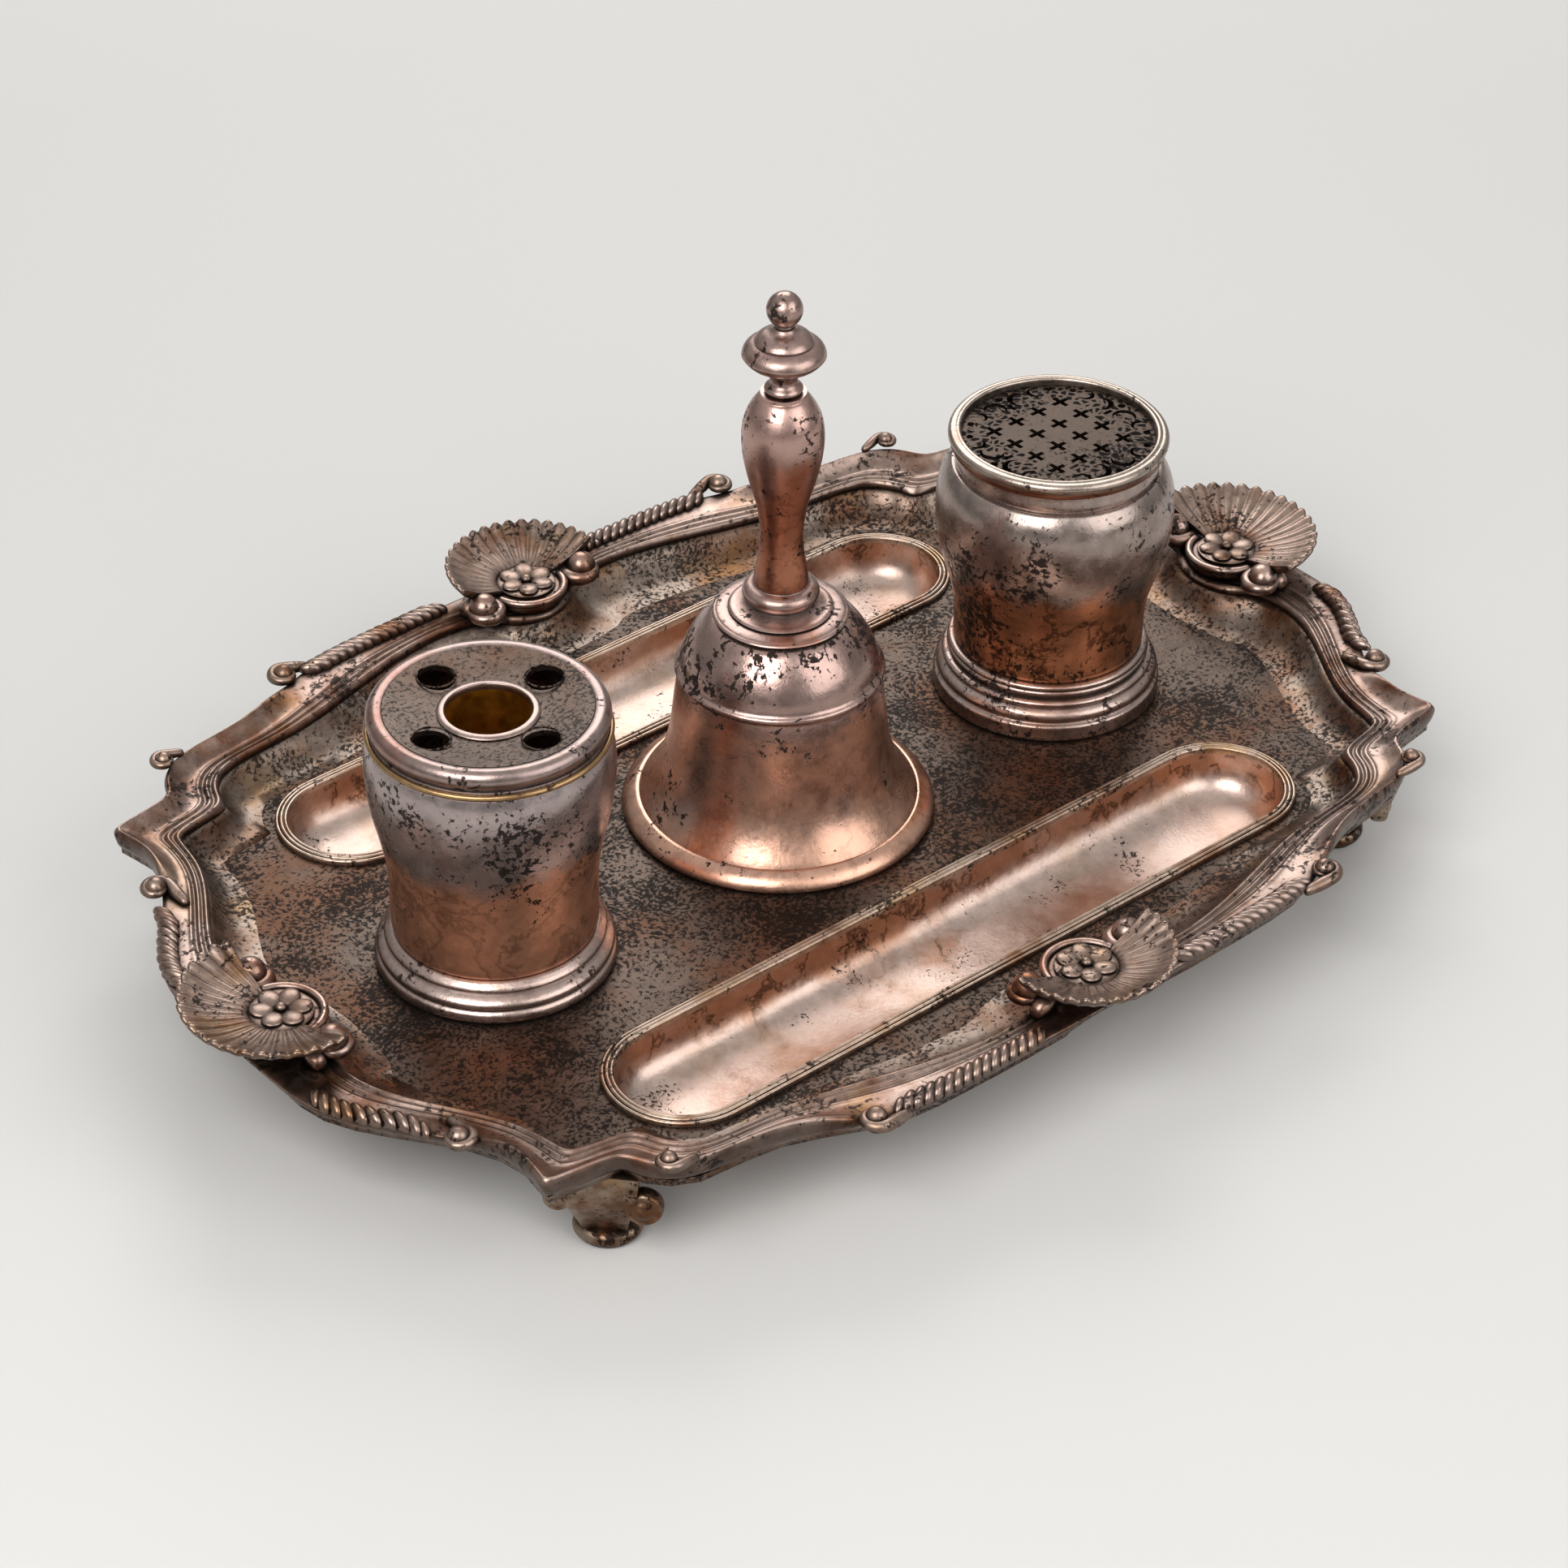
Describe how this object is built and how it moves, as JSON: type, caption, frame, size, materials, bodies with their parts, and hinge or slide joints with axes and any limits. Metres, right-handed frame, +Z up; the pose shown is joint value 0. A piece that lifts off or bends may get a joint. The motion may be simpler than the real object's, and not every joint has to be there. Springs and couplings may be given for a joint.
{
  "type": "desk inkstand",
  "caption": "Shaped tray on scroll feet with pen troughs, an ink pot with a lift-out cup, a pounce pot with a pierced lid, and a table bell.",
  "frame": {"origin": "centre of the base, on the surface that the feet stand on", "axes": "+X along the tray from the ink pot towards the pounce pot, +Y across the tray towards the rear pen trough, +Z up"},
  "size_m": [0.3138, 0.2256, 0.1468],
  "materials": {
    "plate": "worn silver plate over copper, satin",
    "tray_plate": "worn silver plate over copper, speckled with tarnish",
    "worn_plate": "silver plate worn through to the copper in patches",
    "gilt": "old gilding, satin"
  },
  "bodies": {
    "tray": {"tray_floor": "tray_plate", "tray_wall": "tray_plate", "border_moulding": "plate", "pen_trough_front": "tray_plate", "pen_trough_back": "tray_plate", "shell_front": "plate", "shell_back": "plate", "shell_left": "plate", "shell_right": "plate", "seat_front": "plate", "seat_back": "plate", "seat_left": "plate", "seat_right": "plate", "rosette_front": "plate", "rosette_back": "plate", "rosette_left": "plate", "rosette_right": "plate", "gadroons_front_left": "plate", "gadroons_front_right": "plate", "gadroons_back_left": "plate", "gadroons_back_right": "plate", "gadroons_left_front": "plate", "gadroons_left_back": "plate", "gadroons_right_front": "plate", "gadroons_right_back": "plate", "scroll_front_left": "plate", "scroll_front_right": "plate", "scroll_back_left": "plate", "scroll_back_right": "plate", "scroll_left_front": "plate", "scroll_left_back": "plate", "scroll_right_front": "plate", "scroll_right_back": "plate", "curl_front_left": "plate", "curl_front_right": "plate", "curl_back_left": "plate", "curl_back_right": "plate", "foot_front_left": "plate", "foot_front_right": "plate", "foot_back_left": "plate", "foot_back_right": "plate"},
    "ink_pot": {"ink_base": "plate", "ink_body": "worn_plate", "ink_wire": "gilt"},
    "ink_top": {"ink_top_plate": "plate", "ink_top_rim": "plate"},
    "ink_liner": {"ink_cup": "gilt"},
    "pounce_pot": {"pounce_base": "plate", "pounce_body": "worn_plate", "pounce_neck": "worn_plate"},
    "pounce_lid": {"pounce_lid_rim": "plate", "pounce_grille": "plate"},
    "bell": {"bell_shell": "worn_plate", "bell_crown": "plate", "bell_handle": "worn_plate", "bell_knop": "plate", "bell_finial": "plate", "bell_stud": "plate"},
    "clapper": {"clapper_fork": "plate", "clapper_ball": "worn_plate"}
  },
  "joints": [
    {"name": "ink_pot_lift", "type": "slide", "parent": "tray", "child": "ink_pot", "axis": [0, 0, 1], "range_m": [0, 0.13]},
    {"name": "ink_top_lift", "type": "slide", "parent": "ink_pot", "child": "ink_top", "axis": [0, 0, 1], "range_m": [0, 0.105]},
    {"name": "ink_cup_lift", "type": "slide", "parent": "ink_top", "child": "ink_liner", "axis": [0, 0, 1], "range_m": [0, 0.105]},
    {"name": "pounce_pot_lift", "type": "slide", "parent": "tray", "child": "pounce_pot", "axis": [0, 0, 1], "range_m": [0, 0.13]},
    {"name": "pounce_lid_lift", "type": "slide", "parent": "pounce_pot", "child": "pounce_lid", "axis": [0, 0, 1], "range_m": [0, 0.07]},
    {"name": "bell_lift", "type": "slide", "parent": "tray", "child": "bell", "axis": [0, 0, 1], "range_m": [0, 0.08]},
    {"name": "clapper_swing", "type": "hinge", "parent": "bell", "child": "clapper", "pos_m": [-0.001, 0.0025, 0.0587], "axis": [0, 1, 0], "range_deg": [-36, 36]}
  ]
}
